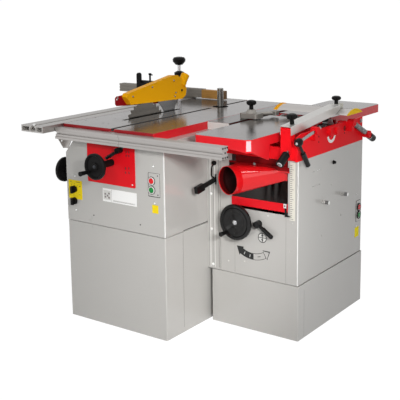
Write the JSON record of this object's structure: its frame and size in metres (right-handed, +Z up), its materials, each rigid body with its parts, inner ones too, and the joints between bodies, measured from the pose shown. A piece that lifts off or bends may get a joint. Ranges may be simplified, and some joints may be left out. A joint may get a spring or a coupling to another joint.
{
  "type": "combination woodworking machine",
  "caption": "Combination woodworking machine: tilting table saw, spindle moulder and sliding table joined to a planer-thicknesser with bridge guard and dust hood.",
  "frame": {"origin": "middle of the overall outline at floor level", "axes": "+X from the sliding table towards the planer, +Y from the operator's side to the back, +Z up"},
  "size_m": [1.517, 1.39, 1.063],
  "materials": {
    "grey_paint": "glossy light grey paint",
    "red_paint": "glossy red paint",
    "cast_table": "ground cast iron with red edges",
    "cast_red": "painted red casting",
    "alu": "natural extruded aluminium",
    "alu_cast": "cast aluminium, satin",
    "steel": "turned steel",
    "chrome": "bright chrome",
    "black_plastic": "black moulded plastic",
    "black_steel": "black enamel",
    "yellow_plastic": "yellow-orange moulded plastic",
    "red_plastic": "red plastic",
    "green_plastic": "green plastic",
    "dark_iron": "dark machined casting",
    "rubber": "belt rubber",
    "wood": "clear-varnished beech"
  },
  "bodies": {
    "frame": {"saw_base": "grey_paint", "saw_cabinet": "grey_paint", "control_panel": "red_paint", "saw_table": "cast_table", "spindle_ring": "steel", "front_rail": "alu", "joining_post": "grey_paint", "slide_guide": "alu", "planer_base": "grey_paint", "planer_cabinet": "grey_paint", "planer_body": "cast_red", "outfeed_table": "cast_table", "planer_motor": "dark_iron", "planer_belt": "rubber", "dust_hood": "red_paint", "fence_clamp": "alu_cast"},
    "sliding_table": {"sliding_table": "alu"},
    "crosscut_fence": {"crosscut_fence": "alu", "fence_end_block": "wood"},
    "flip_stop": {"flip_stop": "black_plastic"},
    "hold_down_clamp": {"hold_down_clamp": "chrome"},
    "tilt_unit": {"tilt_frame": "dark_iron", "riving_knife": "steel"},
    "blade_guard": {"blade_guard": "yellow_plastic", "guard_side_plate": "red_paint"},
    "lift_unit": {"lift_carriage": "dark_iron", "saw_motor": "dark_iron", "saw_belt": "rubber"},
    "arbor": {"saw_arbor": "steel", "saw_blade": "steel"},
    "height_wheel": {"height_wheel": "black_plastic"},
    "tilt_wheel": {"tilt_wheel": "black_plastic"},
    "tilt_lock_lever": {"tilt_lock_lever": "black_steel"},
    "spindle_unit": {"spindle_housing": "dark_iron", "spindle_motor": "dark_iron", "spindle_belt": "rubber"},
    "moulder_spindle": {"moulder_spindle": "steel"},
    "spindle_wheel": {"spindle_wheel": "black_plastic"},
    "selector_knob_upper": {"selector_knob_upper": "black_plastic"},
    "selector_knob_lower": {"selector_knob_lower": "black_plastic"},
    "front_stop_button": {"front_stop_button": "red_plastic"},
    "front_start_button": {"front_start_button": "green_plastic"},
    "side_stop_button": {"side_stop_button": "red_plastic"},
    "side_start_button": {"side_start_button": "green_plastic"},
    "infeed_table": {"infeed_table": "cast_table"},
    "cutterblock": {"cutterblock": "steel"},
    "infeed_roller": {"infeed_roller": "steel"},
    "outfeed_roller": {"outfeed_roller": "steel"},
    "thicknesser_table": {"thicknesser_table": "cast_red"},
    "thickness_wheel": {"thickness_wheel": "black_plastic"},
    "thickness_lock_lever": {"thickness_lock_lever": "black_steel"},
    "feed_lever": {"feed_lever": "black_steel"},
    "guard_arm": {"guard_arm": "alu"},
    "guard_beam": {"guard_beam": "alu"},
    "arm_knob": {"arm_knob": "black_plastic"},
    "beam_knob": {"beam_knob": "black_plastic"},
    "fence_knob": {"fence_knob": "black_plastic"},
    "table_lever": {"table_lever": "black_plastic"},
    "front_grip_knob": {"front_grip_knob": "black_plastic"},
    "rear_grip_knob": {"rear_grip_knob": "black_plastic"}
  },
  "joints": [
    {"name": "sliding_table_travel", "type": "slide", "parent": "frame", "child": "sliding_table", "axis": [0, 1, 0], "range_m": [-0.24, 0.35]},
    {"name": "crosscut_fence_swing", "type": "hinge", "parent": "sliding_table", "child": "crosscut_fence", "pos_m": [-0.3145, 0.424, 0.85], "axis": [0, 0, 1], "range_deg": [0, 45]},
    {"name": "flip_stop_travel", "type": "slide", "parent": "crosscut_fence", "child": "flip_stop", "axis": [1, 0, 0], "range_m": [-0.11, 0.3]},
    {"name": "hold_down_turn", "type": "hinge", "parent": "sliding_table", "child": "hold_down_clamp", "pos_m": [-0.3145, 0.36, 0.85], "axis": [0, 0, 1], "continuous": true},
    {"name": "blade_tilt", "type": "hinge", "parent": "frame", "child": "tilt_unit", "pos_m": [-0.0925, -0.191, 0.85], "axis": [0, -1, 0], "range_deg": [0, 45]},
    {"name": "tilt_wheel_turn", "type": "hinge", "parent": "frame", "child": "tilt_wheel", "pos_m": [-0.2425, -0.497, 0.638], "axis": [1, 0, 0], "range_deg": [0, 1082]},
    {"name": "blade_guard_lift", "type": "hinge", "parent": "tilt_unit", "child": "blade_guard", "pos_m": [-0.0925, 0.059, 0.925], "axis": [-1, 0, 0], "range_deg": [0, 20]},
    {"name": "blade_height", "type": "slide", "parent": "tilt_unit", "child": "lift_unit", "axis": [0, 0, 1], "range_m": [-0.07, 0.012]},
    {"name": "height_wheel_turn", "type": "hinge", "parent": "frame", "child": "height_wheel", "pos_m": [0.0195, -0.541, 0.711], "axis": [0, 1, 0], "range_deg": [-1004.68, 173.89]},
    {"name": "blade_spin", "type": "hinge", "parent": "lift_unit", "child": "arbor", "pos_m": [-0.0925, -0.191, 0.768], "axis": [1, 0, 0], "continuous": true},
    {"name": "tilt_lock_turn", "type": "hinge", "parent": "frame", "child": "tilt_lock_lever", "pos_m": [0.0695, -0.541, 0.768], "axis": [0, -1, 0], "range_deg": [-30, 0]},
    {"name": "spindle_height", "type": "slide", "parent": "frame", "child": "spindle_unit", "axis": [0, 0, 1], "range_m": [-0.08, 0]},
    {"name": "spindle_spin", "type": "hinge", "parent": "spindle_unit", "child": "moulder_spindle", "pos_m": [0.0345, 0.22, 0.85], "axis": [0, 0, 1], "continuous": true},
    {"name": "spindle_wheel_turn", "type": "hinge", "parent": "frame", "child": "spindle_wheel", "pos_m": [-0.2425, 0.1535, 0.622], "axis": [1, 0, 0], "range_deg": [0, 288.48]},
    {"name": "selector_upper_turn", "type": "hinge", "parent": "frame", "child": "selector_knob_upper", "pos_m": [-0.1985, -0.541, 0.571], "axis": [0, 1, 0], "range_deg": [-45, 45]},
    {"name": "selector_lower_turn", "type": "hinge", "parent": "frame", "child": "selector_knob_lower", "pos_m": [-0.1985, -0.541, 0.52], "axis": [0, 1, 0], "range_deg": [-45, 45]},
    {"name": "front_stop_press", "type": "slide", "parent": "frame", "child": "front_stop_button", "axis": [0, 1, 0], "range_m": [0, 0.004], "stiffness_N_per_m": 900, "springref_m": -0.001},
    {"name": "front_start_press", "type": "slide", "parent": "frame", "child": "front_start_button", "axis": [0, 1, 0], "range_m": [0, 0.004], "stiffness_N_per_m": 900, "springref_m": -0.001},
    {"name": "side_stop_press", "type": "slide", "parent": "frame", "child": "side_stop_button", "axis": [-1, 0, 0], "range_m": [0, 0.004], "stiffness_N_per_m": 900, "springref_m": -0.001},
    {"name": "side_start_press", "type": "slide", "parent": "frame", "child": "side_start_button", "axis": [-1, 0, 0], "range_m": [0, 0.004], "stiffness_N_per_m": 900, "springref_m": -0.001},
    {"name": "infeed_height", "type": "slide", "parent": "frame", "child": "infeed_table", "axis": [0, 0, 1], "range_m": [-0.004, 0]},
    {"name": "front_grip_turn", "type": "hinge", "parent": "frame", "child": "front_grip_knob", "pos_m": [0.6875, -0.283, 0.771], "axis": [0, -0.8499, -0.5269], "range_deg": [-345.77, 0]},
    {"name": "table_lever_turn", "type": "hinge", "parent": "frame", "child": "table_lever", "pos_m": [0.7395, -0.141, 0.849], "axis": [0, -0.9827, -0.1851], "range_deg": [0, 50]},
    {"name": "rear_grip_turn", "type": "hinge", "parent": "frame", "child": "rear_grip_knob", "pos_m": [0.7395, 0.184, 0.838], "axis": [0, 0.9047, -0.4261], "continuous": true},
    {"name": "cutterblock_spin", "type": "hinge", "parent": "frame", "child": "cutterblock", "pos_m": [0.4135, 0.149, 0.8156], "axis": [1, 0, 0], "continuous": true},
    {"name": "infeed_roller_spin", "type": "hinge", "parent": "frame", "child": "infeed_roller", "pos_m": [0.4135, 0.095, 0.796], "axis": [1, 0, 0], "continuous": true},
    {"name": "outfeed_roller_spin", "type": "hinge", "parent": "frame", "child": "outfeed_roller", "pos_m": [0.4135, 0.203, 0.796], "axis": [1, 0, 0], "continuous": true},
    {"name": "thicknesser_height", "type": "slide", "parent": "frame", "child": "thicknesser_table", "axis": [0, 0, 1], "range_m": [0, 0.06]},
    {"name": "thickness_wheel_turn", "type": "hinge", "parent": "frame", "child": "thickness_wheel", "pos_m": [0.4535, -0.541, 0.465], "axis": [0, 1, 0], "range_deg": [0, 1033.32]},
    {"name": "thickness_lock_turn", "type": "hinge", "parent": "frame", "child": "thickness_lock_lever", "pos_m": [0.5445, -0.541, 0.465], "axis": [0, 1, 0], "range_deg": [-40, 40]},
    {"name": "feed_lever_turn", "type": "hinge", "parent": "frame", "child": "feed_lever", "pos_m": [0.3295, -0.216, 0.628], "axis": [1, 0, 0], "range_deg": [-10, 10]},
    {"name": "guard_arm_lift", "type": "hinge", "parent": "frame", "child": "guard_arm", "pos_m": [0.678, -0.255, 0.862], "axis": [1, 0, 0], "range_deg": [-1.5, 12]},
    {"name": "guard_beam_travel", "type": "slide", "parent": "guard_arm", "child": "guard_beam", "axis": [1, 0, 0], "range_m": [0, 0.2]},
    {"name": "arm_knob_turn", "type": "hinge", "parent": "guard_arm", "child": "arm_knob", "pos_m": [0.682, -0.22879, 0.88296], "axis": [0, -0.0906, 0.9959], "continuous": true},
    {"name": "beam_knob_turn", "type": "hinge", "parent": "guard_arm", "child": "beam_knob", "pos_m": [0.678, 0.155, 0.924], "axis": [0, 0, 1], "continuous": true},
    {"name": "fence_knob_turn", "type": "hinge", "parent": "frame", "child": "fence_knob", "pos_m": [0.3555, -0.011, 0.89], "axis": [0, 0, 1], "continuous": true}
  ],
  "couplings": [
    {"joint": "tilt_wheel_turn", "follows": "blade_tilt", "ratio": 24},
    {"joint": "height_wheel_turn", "follows": "blade_height", "rad_per_m": 250},
    {"joint": "spindle_wheel_turn", "follows": "spindle_height", "rad_per_m": -62.5},
    {"joint": "front_grip_turn", "follows": "infeed_height", "rad_per_m": 1500},
    {"joint": "outfeed_roller_spin", "follows": "infeed_roller_spin", "ratio": 1},
    {"joint": "thickness_wheel_turn", "follows": "thicknesser_height", "rad_per_m": 300}
  ]
}
